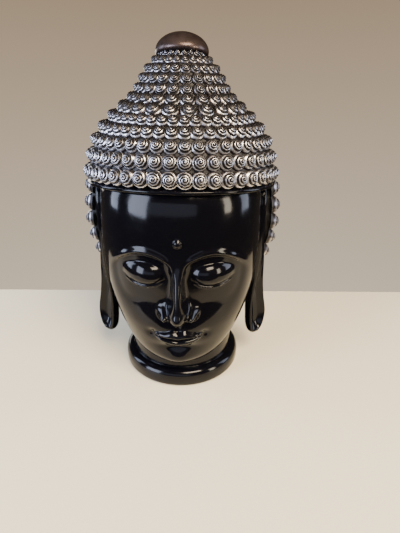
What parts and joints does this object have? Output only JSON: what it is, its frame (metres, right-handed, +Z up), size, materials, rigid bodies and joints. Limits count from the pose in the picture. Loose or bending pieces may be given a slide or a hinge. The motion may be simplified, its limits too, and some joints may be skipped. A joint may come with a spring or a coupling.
{
  "type": "resin buddha statue",
  "caption": "Gloss black cast resin Buddha head with antique silver snail-shell curls, domed finial, long free ear lobes and a rolled ring base; stands on its own.",
  "frame": {"origin": "centre of the flat underside of the ring base", "axes": "+Z up, the face looks along -Y, +X is the viewer's right when facing it"},
  "size_m": [0.1886, 0.1915, 0.31],
  "materials": {
    "black_lacquer": "gloss black lacquer on cast resin",
    "silver_curls": "antique silver rubbed over brown-black curls",
    "finial_pewter": "smooth brown-pewter metallic paint"
  },
  "bodies": {
    "root": {"buddha_head": "black_lacquer"}
  },
  "joints": []
}
